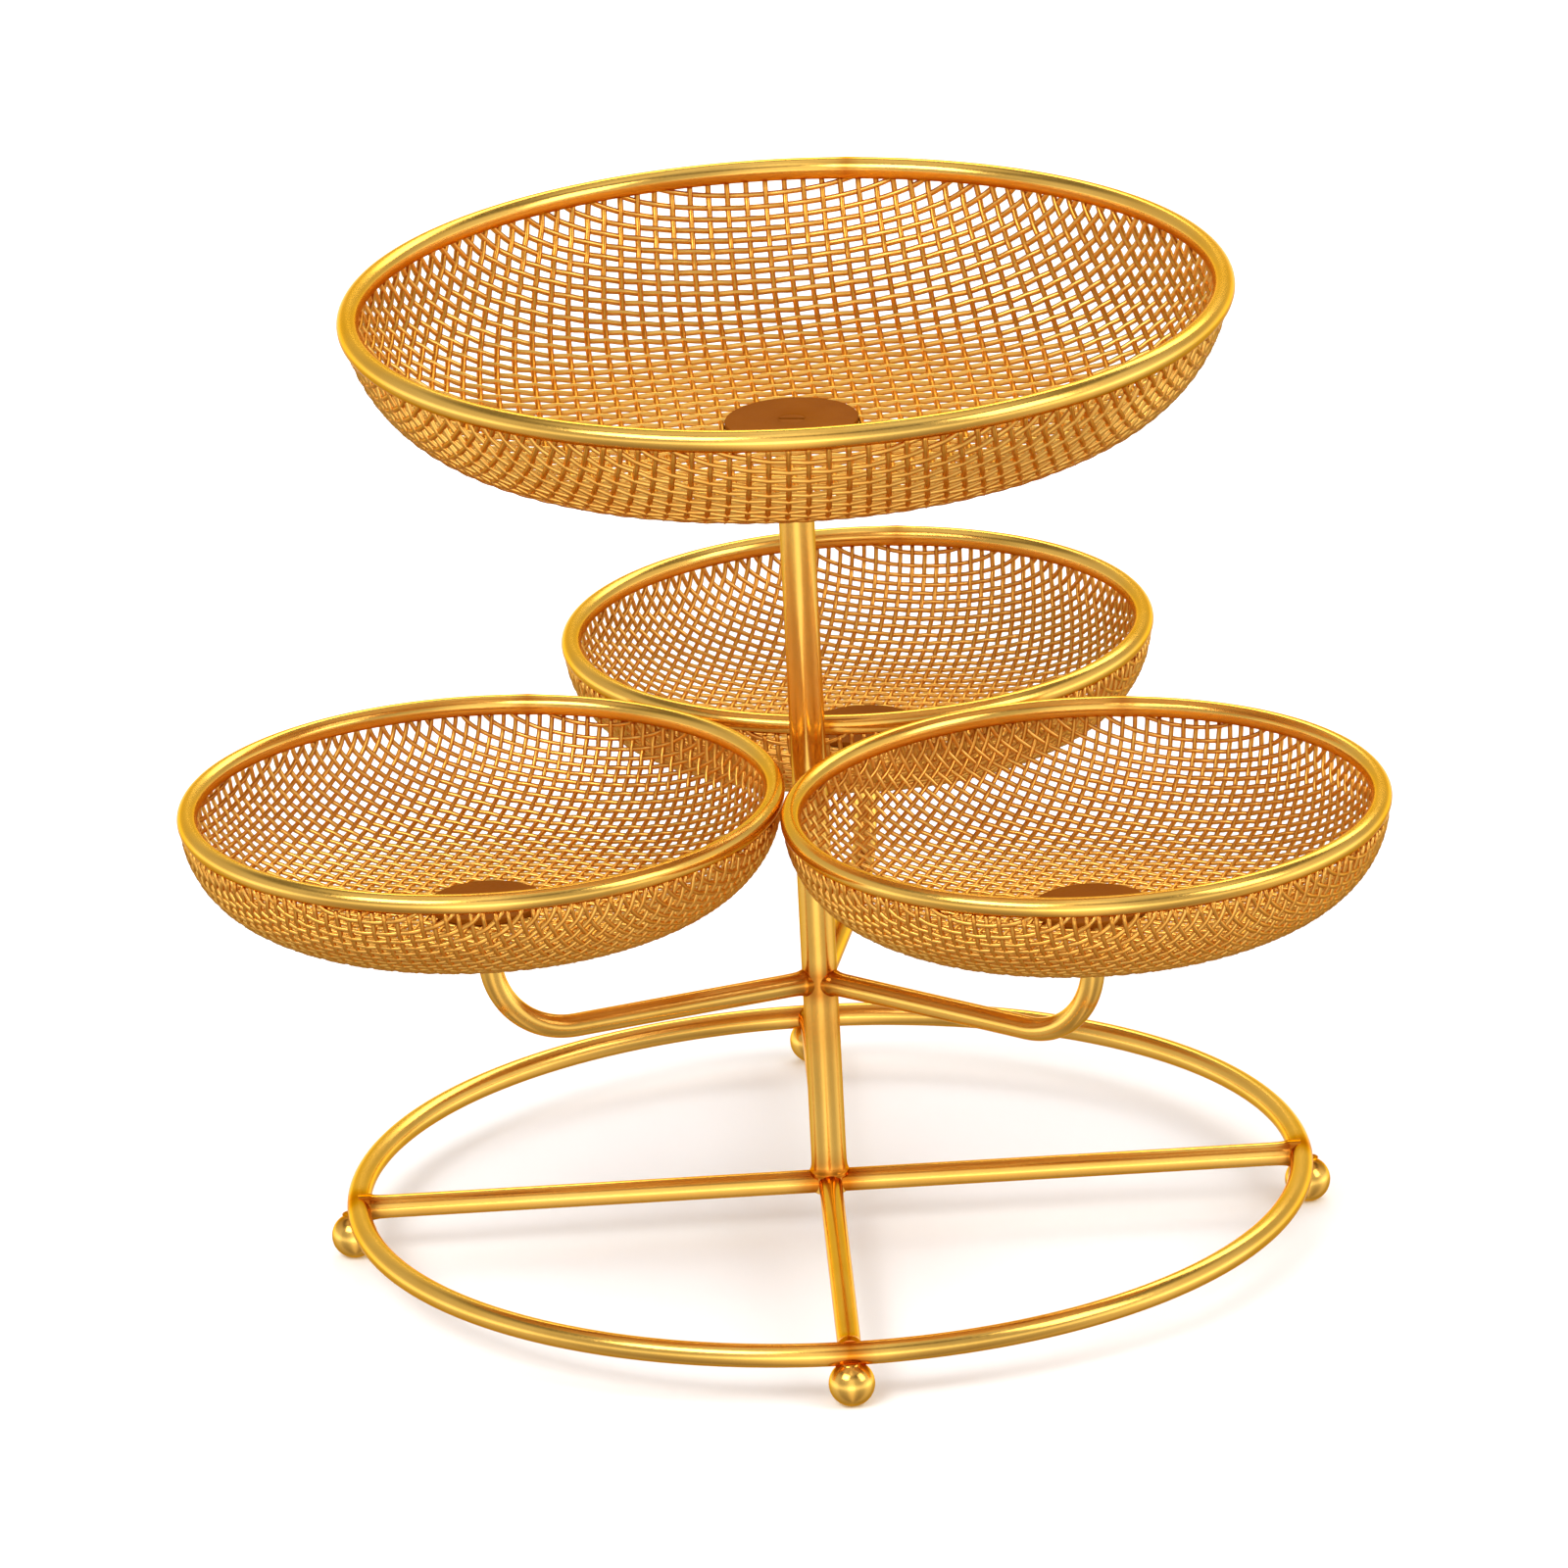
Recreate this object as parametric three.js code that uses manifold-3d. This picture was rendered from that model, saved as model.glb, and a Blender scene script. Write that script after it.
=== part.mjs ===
// Two-level serving stand in bent steel wire: one wide mesh bowl on top of a post and three smaller
// mesh bowls around it, on a round base with a cross of wires and four ball feet.
// Millimetres, +Z up. The origin is on the table, under the middle of the stand's outline.
import * as THREE from "three";
import { mergeVertices } from "three/addons/utils/BufferGeometryUtils.js";
import Module from "manifold-3d";

const wasm = await Module();
wasm.setup();

// ---- base
const baseRadius = 120; // base ring, to the middle of its wire
const frameWire = 6; // base ring, cross and arms
const crossYaw = 10.6; // degrees the cross is turned against the bowls
const weldGap = 0.3; // left between pieces that are welded together

// ---- ball feet
const footRadius = 5.8;
const footFlatRadius = 2; // small flat each ball stands on
const footDrop = 7.3; // ring wire's middle down to the ball's middle
const footOutset = 1.5; // ball's middle outside the ring wire's middle

// ---- post
const postDiameter = 9;
const postWall = 1;
const postSeat = 1; // how far the tube's end is cut over the cross wire
const insertLength = 14;
const insertPress = 0.05; // radial, between the tube and its threaded insert

// ---- levels, from the base ring's middle plane up to a rim's middle plane
const topRimRise = 235.2;
const smallRimRise = 117.7;

// ---- bowls
const rimGap = 0.4; // between two small rims, at their nearest
const topBowl = {
  rimRadius: 109.5,
  rimWire: 5.6,
  depth: 33.2, // rim's middle plane down to the dish's outside
  flare: 1.1, // dish's widest outside radius over the rim's middle
  roundness: 6.6,
  fullness: 1.5,
  plateRadius: 16.8,
  screwThread: 4,
  rimSegments: 52,
};
const smallBowl = {
  rimRadius: 73.6,
  rimWire: 5.2,
  depth: 28.3,
  flare: 1.8,
  roundness: 4.7,
  fullness: 2,
  plateRadius: 14.6,
  screwThread: 3,
  rimSegments: 40,
};
const meshThickness = 0.8; // the woven wire, as one thin wall
const plateThickness = 1.6;
const underPlateThickness = 1.4;
const underPlateShare = 0.86; // under plate's radius over the inner plate's
const stackGap = 0.05; // between the faces of pieces clamped on one screw
const seatGap = 0.1; // between an under plate and what it turns on

// ---- arms
const armBendRadius = 22;
const armUprightLength = 11.5; // straight wire between the bend and the under plate

// ---- screws, one through the middle of each bowl
const screwHeadRatio = 0.85; // countersunk head's radius over the thread's diameter
const screwHeadSink = 0.1; // head's face below the inner plate's face
const screwSlotRatio = 0.25; // drive slot's width over the thread's diameter
const screwSlotDepthRatio = 0.15; // drive slot's depth over the thread's diameter
const screwGrip = 8; // thread below the under plate
const holeClearance = 0.1; // radial, plates round a thread
const threadClearance = 0.05; // radial, thread in its tapped hole
const tappedExtra = 1.5; // tapped hole's depth past the screw's end

// ---- round-off of curves
const wireSides = 10;
const baseRingSegments = 56;
const plateSegments = 20;
const screwSegments = 16;
const dishSteps = 6;
const armSteps = 18;

// ---- places that follow from the sizes above
const degree = Math.PI / 180;
const wireRadius = frameWire / 2;
const ringLevel = footDrop + Math.sqrt(footRadius ** 2 - footFlatRadius ** 2);
const topRimLevel = ringLevel + topRimRise;
const smallRimLevel = ringLevel + smallRimRise;
const outerRadius = (bowl) => bowl.rimRadius + bowl.rimWire / 2;
const bowlReach = (outerRadius(smallBowl) + rimGap / 2) / Math.sin(60 * degree);
const underFace = (bowl, rimLevel) => rimLevel - bowl.depth - stackGap - underPlateThickness;
const armTop = underFace(smallBowl, smallRimLevel) - seatGap;
const armLevel = armTop - armUprightLength - armBendRadius;
const postTop = underFace(topBowl, topRimLevel) - seatGap;
const footReach = (baseRadius + footOutset) * Math.cos(crossYaw * degree) + footRadius;
const frontExtent = Math.max(
  footReach,
  baseRadius + wireRadius,
  outerRadius(topBowl),
  bowlReach * Math.sin(30 * degree) + outerRadius(smallBowl),
);
const backExtent = Math.max(bowlReach + outerRadius(smallBowl), baseRadius + wireRadius, footReach);
const postY = (frontExtent - backExtent) / 2;

const stand = new THREE.Group();
stand.name = "tiered_mesh_stand";
stand.position.set(0, postY, 0);

const gold = { color: 0xd9a441, roughness: 0.22, metalness: 1 };
const meshGold = { color: 0xcf9a3e, roughness: 0.35, metalness: 1 };
const bronze = { color: 0x9a5512, roughness: 0.4, metalness: 0.9 };
const screwGold = { color: 0xe0b354, roughness: 0.25, metalness: 1 };

function addMesh(name, geometry, look, parent = stand) {
  const mesh = new THREE.Mesh(geometry, new THREE.MeshStandardMaterial(look));
  mesh.name = name;
  parent.add(mesh);
  return mesh;
}

// A closed [radius, height] outline, counter-clockwise with radius to the right, spun about +Z.
function spin(outline, segments) {
  const closed = [...outline, outline[0]];
  const points = closed.map(([radius, height]) => new THREE.Vector2(radius, height));
  const geometry = new THREE.LatheGeometry(points, segments);
  geometry.rotateX(Math.PI / 2);
  return geometry;
}

// An open outline that starts and ends on the axis, spun about +Z.
function spinSolid(outline, segments) {
  const points = outline.map(([radius, height]) => new THREE.Vector2(radius, height));
  const geometry = new THREE.LatheGeometry(points, segments);
  geometry.rotateX(Math.PI / 2);
  return geometry;
}

function roundOutline(radius, sides) {
  const outline = [];
  for (let side = 0; side < sides; side += 1) {
    const angle = (2 * Math.PI * (side + 0.5)) / sides;
    outline.push([radius * Math.cos(angle), radius * Math.sin(angle)]);
  }
  return outline;
}

function wireRing(ringRadius, radius, level, segments, sides = wireSides) {
  const outline = roundOutline(radius, sides).map(([x, z]) => [ringRadius + x, level + z]);
  return spin(outline, segments);
}

// A straight round wire from one point to another.
function straightWire(from, to, radius, sides = wireSides) {
  const span = new THREE.Vector3().subVectors(to, from);
  const geometry = new THREE.CylinderGeometry(radius, radius, span.length(), sides);
  const turn = new THREE.Quaternion().setFromUnitVectors(
    new THREE.Vector3(0, 1, 0),
    span.clone().normalize(),
  );
  geometry.applyQuaternion(turn);
  const middle = new THREE.Vector3().addVectors(from, to).multiplyScalar(0.5);
  geometry.translate(middle.x, middle.y, middle.z);
  return geometry;
}

function toSolid(geometry) {
  const plain = geometry.clone();
  plain.deleteAttribute("normal");
  plain.deleteAttribute("uv");
  const merged = mergeVertices(plain, 1e-4);
  return new wasm.Manifold(
    new wasm.Mesh({
      numProp: 3,
      vertProperties: new Float32Array(merged.attributes.position.array),
      triVerts: new Uint32Array(merged.index.array),
    }),
  );
}

function cut(body, ...tools) {
  let solid = toSolid(body);
  tools.forEach((tool) => {
    solid = solid.subtract(toSolid(tool));
  });
  const mesh = solid.getMesh();
  const geometry = new THREE.BufferGeometry();
  geometry.setAttribute("position", new THREE.BufferAttribute(mesh.vertProperties, 3));
  geometry.setIndex(new THREE.BufferAttribute(mesh.triVerts, 1));
  geometry.computeVertexNormals();
  return geometry;
}

const along = (angle, distance, level) =>
  new THREE.Vector3(distance * Math.cos(angle), distance * Math.sin(angle), level);

// ---- base ring and cross
addMesh("base_ring", wireRing(baseRadius, wireRadius, ringLevel, baseRingSegments), gold);

const crossAngle = crossYaw * degree;
const barEnd = baseRadius - wireRadius - weldGap;
const frontAngle = crossAngle - Math.PI / 2;
const backAngle = crossAngle + Math.PI / 2;
const throughFrom = along(frontAngle, barEnd, ringLevel);
const throughTo = along(backAngle, barEnd, ringLevel);
addMesh("crossbar_front_back", straightWire(throughFrom, throughTo, wireRadius), gold);

const halfStart = wireRadius + weldGap;
[
  ["crossbar_right", crossAngle],
  ["crossbar_left", crossAngle + Math.PI],
].forEach(([name, angle]) => {
  const from = along(angle, halfStart, ringLevel);
  const to = along(angle, barEnd, ringLevel);
  addMesh(name, straightWire(from, to, wireRadius), gold);
});

// ---- ball feet, each hollowed where it meets the ring and flat where it stands
const footLevel = ringLevel - footDrop;
const footRing = wireRing(baseRadius, wireRadius + weldGap, ringLevel, baseRingSegments, 16);
[
  ["foot_front", frontAngle],
  ["foot_right", crossAngle],
  ["foot_back", backAngle],
  ["foot_left", crossAngle + Math.PI],
].forEach(([name, angle]) => {
  const outline = [[0, -footLevel]];
  const from = -Math.acos(footFlatRadius / footRadius);
  const rings = 8;
  for (let ring = 0; ring < rings; ring += 1) {
    const tilt = from + ((Math.PI / 2 - from) * ring) / rings;
    outline.push([footRadius * Math.cos(tilt), footRadius * Math.sin(tilt)]);
  }
  outline.push([0, footRadius]);
  const ball = spinSolid(outline, 16);
  const centre = along(angle, baseRadius + footOutset, footLevel);
  ball.translate(centre.x, centre.y, centre.z);
  addMesh(name, cut(ball, footRing), gold);
});

// ---- post: a tube welded upright on the middle of the cross, with a threaded insert in its top
const postRadius = postDiameter / 2;
const boreRadius = postRadius - postWall;
const postBottom = ringLevel + wireRadius - postSeat;
const tube = spin(
  [
    [boreRadius, postBottom],
    [postRadius, postBottom],
    [postRadius, postTop],
    [boreRadius, postTop],
  ],
  plateSegments,
);
const seatCutters = [
  [throughFrom, throughTo],
  [along(crossAngle, barEnd, ringLevel), along(crossAngle + Math.PI, barEnd, ringLevel)],
].map(([from, to]) => straightWire(from, to, wireRadius + weldGap, 16));
addMesh("post_tube", cut(tube, ...seatCutters), gold);

const threadRadius = (bowl) => bowl.screwThread / 2;
const tappedRadius = (bowl) => threadRadius(bowl) + threadClearance;
const insertRadius = boreRadius - insertPress;
const insertBottom = postTop - insertLength;
addMesh(
  "post_insert",
  spin(
    [
      [tappedRadius(topBowl), insertBottom],
      [insertRadius, insertBottom],
      [insertRadius, postTop],
      [tappedRadius(topBowl), postTop],
    ],
    plateSegments,
  ),
  screwGold,
);

// ---- arms: straight out from the post, then bent up to a tapped end under each small bowl
class ArmPath extends THREE.Curve {
  constructor(angle, start) {
    super();
    this.angle = angle;
    this.start = start;
  }

  getPoint(share, target = new THREE.Vector3()) {
    const bendStart = bowlReach - armBendRadius;
    const level = bendStart - this.start;
    const bend = (armBendRadius * Math.PI) / 2;
    const length = share * (level + bend + armUprightLength);
    let out = this.start + length;
    let up = armLevel;
    if (length > level + bend) {
      out = bowlReach;
      up = armLevel + armBendRadius + (length - level - bend);
    } else if (length > level) {
      const turn = (length - level) / armBendRadius;
      out = bendStart + armBendRadius * Math.sin(turn);
      up = armLevel + armBendRadius * (1 - Math.cos(turn));
    }
    return target.copy(along(this.angle, out, up));
  }
}

const armStart = postRadius - 1;
const armCutter = straightWire(
  new THREE.Vector3(0, 0, armLevel - frameWire),
  new THREE.Vector3(0, 0, armLevel + frameWire),
  postRadius + weldGap,
  plateSegments,
);
const wireShape = new THREE.Shape(
  roundOutline(wireRadius, wireSides).map(([x, y]) => new THREE.Vector2(x, y)),
);
const tappedDepth = screwGrip + tappedExtra;

function armGeometry(angle) {
  const rod = new THREE.ExtrudeGeometry(wireShape, {
    steps: armSteps,
    bevelEnabled: false,
    extrudePath: new ArmPath(angle, armStart),
  });
  const hole = straightWire(
    along(angle, bowlReach, armTop - tappedDepth),
    along(angle, bowlReach, armTop + 1),
    tappedRadius(smallBowl),
    screwSegments,
  );
  return cut(rod, armCutter, hole);
}

// ---- one bowl: rim, woven dish, inner plate and under plate, all round one upright axis
function dishHeight(bowl, share) {
  return -bowl.depth * (1 - share ** bowl.roundness) ** (1 / bowl.fullness);
}

// Points down the outside of the dish, from its centre hole to its lip under the rim.
function dishOutline(bowl) {
  const widest = bowl.rimRadius + bowl.flare;
  const holeRadius = threadRadius(bowl) + holeClearance;
  const lipHeight = -(bowl.rimWire / 2 + weldGap);
  let lipShare = 1;
  while (dishHeight(bowl, lipShare) > lipHeight) {
    lipShare -= 0.0005;
  }
  const outline = [[holeRadius, -bowl.depth]];
  const flatShare = (bowl.plateRadius * 1.5) / widest;
  for (let step = 0; step <= dishSteps; step += 1) {
    const way = Math.sin((step / dishSteps) * (Math.PI / 2));
    const share = flatShare + (lipShare - flatShare) * way;
    outline.push([widest * share, dishHeight(bowl, share)]);
  }
  return outline;
}

function thicken(outline, thickness) {
  const inner = outline.map(([radius, height], index) => {
    const before = outline[Math.max(index - 1, 0)];
    const after = outline[Math.min(index + 1, outline.length - 1)];
    const run = after[0] - before[0];
    const rise = after[1] - before[1];
    const length = Math.hypot(run, rise);
    return [radius - (rise / length) * thickness, height + (run / length) * thickness];
  });
  inner[0] = [outline[0][0], outline[0][1] + thickness];
  return [...outline, ...inner.reverse()];
}

function ringPlate(holeRadius, radius, bottom, thickness) {
  return spin(
    [
      [holeRadius, bottom],
      [radius, bottom],
      [radius, bottom + thickness],
      [holeRadius, bottom + thickness],
    ],
    plateSegments,
  );
}

const innerPlateTop = (bowl) => -bowl.depth + meshThickness + stackGap + plateThickness;
const headTop = (bowl) => innerPlateTop(bowl) - screwHeadSink;
const headRadius = (bowl) => bowl.screwThread * screwHeadRatio;
const headHeight = (bowl) => headRadius(bowl) - threadRadius(bowl);

// Round plate with a countersunk hole that follows the screw's head.
function sunkPlate(bowl) {
  const top = innerPlateTop(bowl);
  const holeRadius = threadRadius(bowl) + holeClearance;
  const coneBottom = headTop(bowl) - headHeight(bowl);
  return spin(
    [
      [holeRadius, top - plateThickness],
      [bowl.plateRadius, top - plateThickness],
      [bowl.plateRadius, top],
      [holeRadius + top - coneBottom, top],
      [holeRadius, coneBottom],
    ],
    plateSegments,
  );
}

function countersunkScrew(bowl) {
  const thread = threadRadius(bowl);
  const top = headTop(bowl);
  const end = -bowl.depth - stackGap - underPlateThickness - seatGap - screwGrip;
  const screw = spinSolid(
    [
      [0, end],
      [thread, end],
      [thread, top - headHeight(bowl)],
      [headRadius(bowl), top],
      [0, top],
    ],
    screwSegments,
  );
  const slotDepth = bowl.screwThread * screwSlotDepthRatio;
  const slotWidth = bowl.screwThread * screwSlotRatio;
  const slot = new THREE.BoxGeometry(3 * headRadius(bowl), slotWidth, 2 * slotDepth);
  slot.translate(0, 0, top);
  return cut(screw, slot);
}

function addBowl(name, bowl, angle, distance, rimLevel) {
  const seat = new THREE.Group();
  seat.position.copy(along(angle, distance, rimLevel));
  stand.add(seat);
  const holeRadius = threadRadius(bowl) + holeClearance;
  const rim = wireRing(bowl.rimRadius, bowl.rimWire / 2, 0, bowl.rimSegments, 8);
  addMesh(name + "_rim", rim, gold, seat);
  const wall = thicken(dishOutline(bowl), meshThickness);
  addMesh(name + "_mesh_dish", spin(wall, bowl.rimSegments), meshGold, seat);
  addMesh(name + "_inner_plate", sunkPlate(bowl), bronze, seat);
  const underBottom = -bowl.depth - stackGap - underPlateThickness;
  const underRadius = bowl.plateRadius * underPlateShare;
  const under = ringPlate(holeRadius, underRadius, underBottom, underPlateThickness);
  addMesh(name + "_under_plate", under, gold, seat);
  addMesh(name + "_screw", countersunkScrew(bowl), screwGold, seat);
}

addBowl("top_bowl", topBowl, 0, 0, topRimLevel);
[
  ["back", 90],
  ["left", 210],
  ["right", 330],
].forEach(([side, turn]) => {
  addMesh("arm_" + side, armGeometry(turn * degree), gold);
  addBowl(side + "_bowl", smallBowl, turn * degree, bowlReach, smallRimLevel);
});

export default stand;
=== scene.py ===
import math

import bpy
import numpy as np
from mathutils import Matrix, Vector


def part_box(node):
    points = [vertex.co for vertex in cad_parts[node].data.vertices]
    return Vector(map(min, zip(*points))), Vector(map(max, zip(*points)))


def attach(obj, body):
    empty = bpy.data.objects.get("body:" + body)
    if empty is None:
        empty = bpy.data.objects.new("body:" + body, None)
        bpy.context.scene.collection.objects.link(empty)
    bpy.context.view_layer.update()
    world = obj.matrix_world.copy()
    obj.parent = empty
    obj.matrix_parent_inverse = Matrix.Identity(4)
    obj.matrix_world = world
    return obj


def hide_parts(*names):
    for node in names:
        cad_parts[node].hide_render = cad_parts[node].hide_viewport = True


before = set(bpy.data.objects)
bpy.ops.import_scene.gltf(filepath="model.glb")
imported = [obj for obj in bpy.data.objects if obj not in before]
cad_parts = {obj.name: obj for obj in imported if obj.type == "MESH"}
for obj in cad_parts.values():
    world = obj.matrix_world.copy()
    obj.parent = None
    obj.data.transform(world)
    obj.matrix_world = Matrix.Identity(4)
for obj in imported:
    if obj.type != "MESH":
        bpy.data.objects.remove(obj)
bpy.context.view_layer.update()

print("frame loaded:", len(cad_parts), "nodes")

mm = 0.001  # everything below is worked out in millimetres
upward = np.array([0.0, 0.0, 1.0])


def middleOf(node):
    low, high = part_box(node)
    return np.array((low + high) / 2) / mm


def lowOf(node):
    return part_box(node)[0].z / mm


def highOf(node):
    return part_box(node)[1].z / mm


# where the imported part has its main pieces
postX, postY = middleOf("post_tube")[:2]
ringLevel = middleOf("base_ring")[2]
bowlNames = ("top_bowl", "back_bowl", "left_bowl", "right_bowl")
bowlCentres = {name: middleOf(name + "_rim") for name in bowlNames}


# mesh makers

def sweepTube(path, radii, sides, side, closed=False):
    # round tube along a path; side is a direction square to it, one for all or one per point
    path = np.asarray(path, float)
    count = len(path)
    radii = np.broadcast_to(np.asarray(radii, float), (count,))
    if closed:
        along = np.roll(path, -1, axis=0) - np.roll(path, 1, axis=0)
    else:
        along = np.gradient(path, axis=0)
    along /= np.linalg.norm(along, axis=1)[:, None]
    side = np.broadcast_to(np.asarray(side, float), (count, 3))
    side = side - (side * along).sum(1)[:, None] * along
    side = side / np.linalg.norm(side, axis=1)[:, None]
    over = np.cross(along, side)
    turn = np.arange(sides) * 2 * math.pi / sides
    aside = np.cos(turn)[None, :, None] * side[:, None, :]
    above = np.sin(turn)[None, :, None] * over[:, None, :]
    points = path[:, None, :] + radii[:, None, None] * (aside + above)
    steps = count if closed else count - 1
    i = np.arange(steps)[:, None]
    j = np.arange(sides)[None, :]
    nextI, nextJ = (i + 1) % count, (j + 1) % sides
    faces = np.stack([i * sides + j, i * sides + nextJ, nextI * sides + nextJ, nextI * sides + j], -1)
    faces = [tuple(face) for face in faces.reshape(-1, 4).tolist()]
    if not closed:
        faces.append(tuple(range(sides))[::-1])
        faces.append(tuple(range((count - 1) * sides, count * sides)))
    return points.reshape(-1, 3), faces


def turnProfile(profile, segments):
    # solid of revolution about Z from (radius, height) points that start and end on the axis
    points, rings = [], []
    for radius, height in profile:
        if radius < 1e-9:
            rings.append([len(points)])
            points.append((0.0, 0.0, height))
        else:
            rings.append(list(range(len(points), len(points) + segments)))
            for k in range(segments):
                angle = 2 * math.pi * k / segments
                points.append((radius * math.cos(angle), radius * math.sin(angle), height))
    faces = []
    for first, second in zip(rings, rings[1:]):
        for k in range(segments):
            nextK = (k + 1) % segments
            if len(first) == 1:
                faces.append((first[0], second[nextK], second[k]))
            elif len(second) == 1:
                faces.append((first[k], first[nextK], second[0]))
            else:
                faces.append((first[k], first[nextK], second[nextK], second[k]))
    return np.array(points), faces


def turnRing(profile, segments):
    # ring turned about Z from a closed outline of (radius, height) points
    turns = [2 * math.pi * k / segments for k in range(segments)]
    points = np.array([(r * math.cos(a), r * math.sin(a), z) for r, z in profile for a in turns])
    rings, faces = len(profile), []
    for i in range(rings):
        for k in range(segments):
            nextI, nextK = (i + 1) % rings, (k + 1) % segments
            faces.append((i * segments + k, i * segments + nextK,
                          nextI * segments + nextK, nextI * segments + k))
    return points, faces


def roundedTop(radius, height, size, steps=4):
    # quarter round from a post's side to its flat top, without the point on the side
    turns = [math.pi / 2 * k / steps for k in reversed(range(steps))]
    return [(radius - size + size * math.sin(a), height - size + size * math.cos(a)) for a in turns]


def addPiece(name, points, faces, material, body, nodes, place=(0, 0, 0), crease=40):
    mesh = bpy.data.meshes.new(name)
    mesh.from_pydata((np.asarray(points) * mm).tolist(), [], faces)
    mesh.update()
    mesh.materials.append(material)
    mesh.shade_smooth()
    if crease:
        mesh.set_sharp_from_angle(angle=math.radians(crease))
    return placePiece(name, mesh, body, nodes, place)


def placePiece(name, mesh, body, nodes, place=(0, 0, 0)):
    piece = bpy.data.objects.new(name, mesh)
    bpy.context.scene.collection.objects.link(piece)
    piece.location = Vector(place) * mm
    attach(piece, body)
    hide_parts(*nodes)
    return piece


def paintValues(mesh, name, values):
    layer = mesh.attributes.new(name, "FLOAT", "POINT")
    layer.data.foreach_set("value", np.asarray(values, np.float32))


# finishes

texture = {
    "cloudDetail": 3,
    "grainDetail": 2,
    "lineNoise": 14,
    "lineDetail": 4,
    "wearSteepness": 14.0,
    "tintAndShadeRaggedness": 0.5,     # added to the noise that breaks up a weld's tint and the painted shade
    "noiseSpan": (0.3, 0.7),   # of a noise's values, spread over the whole range
}


def newGroup(name, inputs, outputs):
    group = bpy.data.node_groups.new(name, "ShaderNodeTree")
    for title, default in inputs:
        socket = group.interface.new_socket(title, in_out="INPUT", socket_type="NodeSocketFloat")
        socket.default_value = default
    for title in outputs:
        group.interface.new_socket(title, in_out="OUTPUT", socket_type="NodeSocketFloat")
    return group, group.nodes.new("NodeGroupInput"), group.nodes.new("NodeGroupOutput")


def mathNode(tree, operation, first, second=None, third=None, clamp=False):
    node = tree.nodes.new("ShaderNodeMath")
    node.operation = operation
    node.use_clamp = clamp
    for socket, value in zip(node.inputs, (first, second, third)):
        if value is None:
            continue
        if isinstance(value, (int, float)):
            socket.default_value = value
        else:
            tree.links.new(value, socket)
    return node.outputs[0]


def makeMottle():
    # slow cloudy change over a plated surface, and a fine grain
    group, given, made = newGroup(
        "platingMottle", [("Cloud Scale", 30), ("Grain Scale", 900)], ["Cloud", "Grain"])
    place = group.nodes.new("ShaderNodeTexCoord")
    for scaleName, detail, outName in (
        ("Cloud Scale", texture["cloudDetail"], "Cloud"),
        ("Grain Scale", texture["grainDetail"], "Grain"),
    ):
        noise = group.nodes.new("ShaderNodeTexNoise")
        noise.inputs["Detail"].default_value = detail
        group.links.new(place.outputs["Object"], noise.inputs["Vector"])
        group.links.new(given.outputs[scaleName], noise.inputs["Scale"])
        group.links.new(noise.outputs["Fac"], made.inputs[outName])
    return group


def makeScratches():
    # hair-fine polishing lines, long one way and short the other
    group, given, made = newGroup(
        "polishLines", [("Scale", 60), ("Stretch", 12), ("Strength", 1)], ["Lines"])
    place = group.nodes.new("ShaderNodeTexCoord")
    joined = group.nodes.new("ShaderNodeCombineXYZ")
    for axis, title in enumerate(("Scale", "Scale", "Stretch")):
        group.links.new(given.outputs[title], joined.inputs[axis])
    scaled = group.nodes.new("ShaderNodeVectorMath")
    scaled.operation = "MULTIPLY"
    group.links.new(place.outputs["Object"], scaled.inputs[0])
    group.links.new(joined.outputs[0], scaled.inputs[1])
    noise = group.nodes.new("ShaderNodeTexNoise")
    noise.inputs["Scale"].default_value = texture["lineNoise"]
    noise.inputs["Detail"].default_value = texture["lineDetail"]
    group.links.new(scaled.outputs[0], noise.inputs["Vector"])
    lines = mathNode(group, "MULTIPLY", noise.outputs["Fac"], given.outputs["Strength"])
    group.links.new(lines, made.inputs["Lines"])
    return group


def makeEdgeWear():
    # 1 along worn convex edges, broken up by noise
    group, given, made = newGroup("edgeWear", [("Reach", 0.54), ("Breakup", 200)], ["Worn"])
    shape = group.nodes.new("ShaderNodeNewGeometry")
    place = group.nodes.new("ShaderNodeTexCoord")
    noise = group.nodes.new("ShaderNodeTexNoise")
    group.links.new(place.outputs["Object"], noise.inputs["Vector"])
    group.links.new(given.outputs["Breakup"], noise.inputs["Scale"])
    over = mathNode(group, "SUBTRACT", shape.outputs["Pointiness"], given.outputs["Reach"])
    steep = mathNode(group, "MULTIPLY", over, texture["wearSteepness"], clamp=True)
    broken = mathNode(group, "MULTIPLY", steep, noise.outputs["Fac"], clamp=True)
    group.links.new(broken, made.inputs["Worn"])
    return group


def makeTintAndShade():
    # 1 beside a weld, and where shade is painted at wire crossings and under the rims, from the value
    # painted on the mesh
    group, given, made = newGroup("weldTintAndPaintedShade", [("Strength", 1), ("Breakup", 120)], ["Tint"])
    painted = group.nodes.new("ShaderNodeAttribute")
    painted.attribute_name = "weldTintAndShadeMask"
    place = group.nodes.new("ShaderNodeTexCoord")
    noise = group.nodes.new("ShaderNodeTexNoise")
    group.links.new(place.outputs["Object"], noise.inputs["Vector"])
    group.links.new(given.outputs["Breakup"], noise.inputs["Scale"])
    ragged = mathNode(group, "ADD", noise.outputs["Fac"], texture["tintAndShadeRaggedness"])
    spread = mathNode(group, "MULTIPLY", painted.outputs["Fac"], ragged)
    strong = mathNode(group, "MULTIPLY", spread, given.outputs["Strength"], clamp=True)
    group.links.new(strong, made.inputs["Tint"])
    return group


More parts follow.
